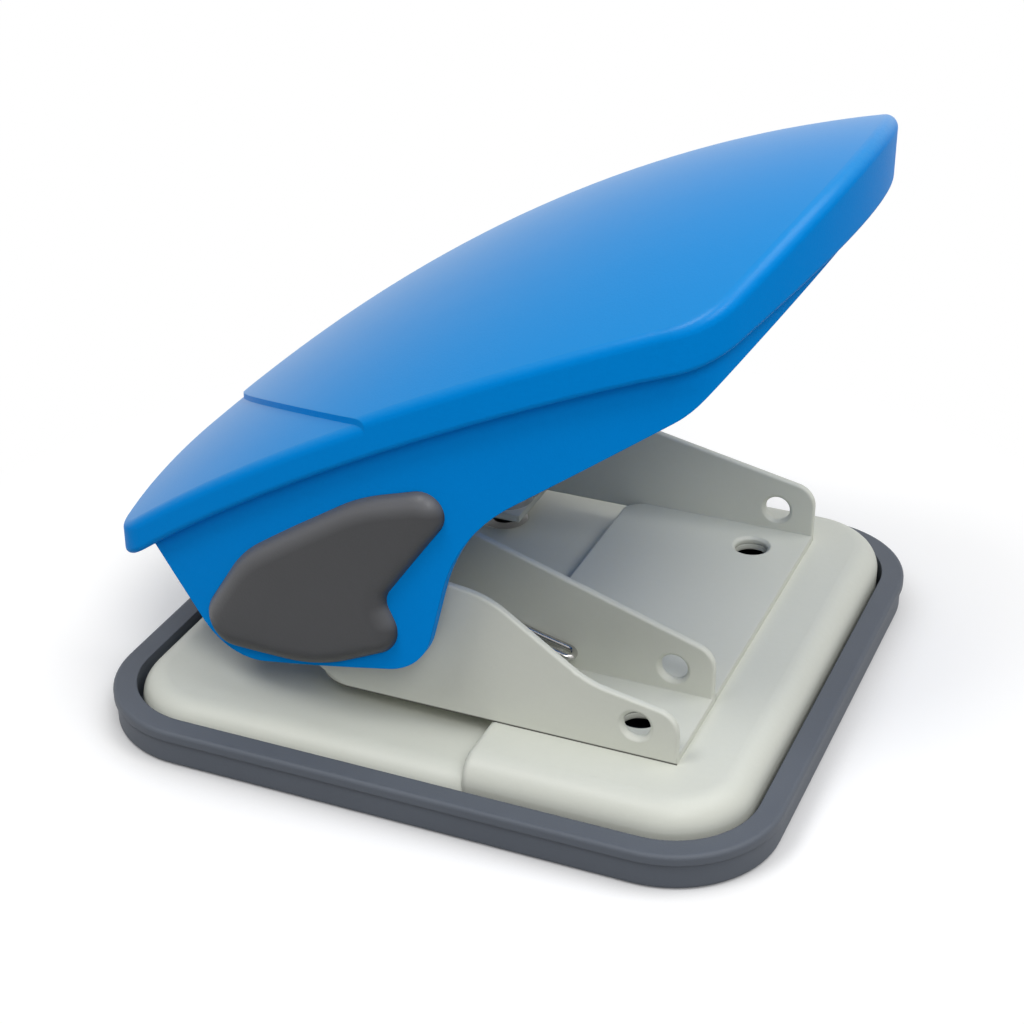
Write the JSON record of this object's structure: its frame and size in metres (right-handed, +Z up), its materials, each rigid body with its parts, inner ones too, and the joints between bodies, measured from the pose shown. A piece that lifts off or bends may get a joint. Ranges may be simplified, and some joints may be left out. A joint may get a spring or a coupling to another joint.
{
  "type": "desk hole punch",
  "caption": "Desk hole punch for paper: a crowned lever handle with side grips on a sheet-steel punch frame, standing on a stepped base plate in a soft chip tray.",
  "frame": {"origin": "middle of the chip tray's underside, on the surface the punch stands on", "axes": "+X towards the handle's free end, +Y from the spring side to the far side, +Z up"},
  "size_m": [0.1612, 0.1494, 0.1384],
  "materials": {
    "tray_rubber": "matt slate blue-grey",
    "frame_paint": "satin pale grey-green",
    "spring_wire": "bright nickel",
    "handle_plastic": "satin blue",
    "grip_plastic": "matt charcoal",
    "bush_plastic": "natural white",
    "machined_steel": "ground"
  },
  "bodies": {
    "base": {"base_plate": "frame_paint", "near_bracket": "frame_paint", "far_bracket": "frame_paint", "paper_stops": "machined_steel", "pivot_shaft": "machined_steel", "return_spring": "spring_wire", "near_die": "machined_steel", "far_die": "machined_steel", "near_pin_guide": "machined_steel", "far_pin_guide": "machined_steel", "near_shaft_clip": "machined_steel", "far_shaft_clip": "machined_steel"},
    "handle": {"handle_cover": "handle_plastic", "handle_body": "handle_plastic", "cover_screws": "machined_steel", "near_side_grip": "grip_plastic", "far_side_grip": "grip_plastic", "near_pivot_bush": "bush_plastic", "far_pivot_bush": "bush_plastic", "near_drive_rod": "machined_steel", "far_drive_rod": "machined_steel"},
    "near_pin": {"near_punch_pin": "machined_steel"},
    "far_pin": {"far_punch_pin": "machined_steel"},
    "tray": {"chip_tray": "tray_rubber"}
  },
  "joints": [
    {"name": "handle_press", "type": "hinge", "parent": "base", "child": "handle", "pos_m": [-0.044, 0, 0.045], "axis": [0, 1, 0], "range_deg": [0, 24], "stiffness_Nm_per_rad": 0.8, "springref_deg": -22.92, "deforming": ["return_spring"]},
    {"name": "near_pin_slide", "type": "slide", "parent": "base", "child": "near_pin", "axis": [0, 0, -1], "range_m": [0, 0.0092]},
    {"name": "far_pin_slide", "type": "slide", "parent": "base", "child": "far_pin", "axis": [0, 0, -1], "range_m": [0, 0.0092]},
    {"name": "tray_pull", "type": "slide", "parent": "base", "child": "tray", "axis": [0, 0, -1], "range_m": [0, 0.03]}
  ],
  "couplings": [
    {"joint": "near_pin_slide", "follows": "handle_press", "m_per_rad": 0.02184},
    {"joint": "far_pin_slide", "follows": "handle_press", "m_per_rad": 0.02184}
  ]
}
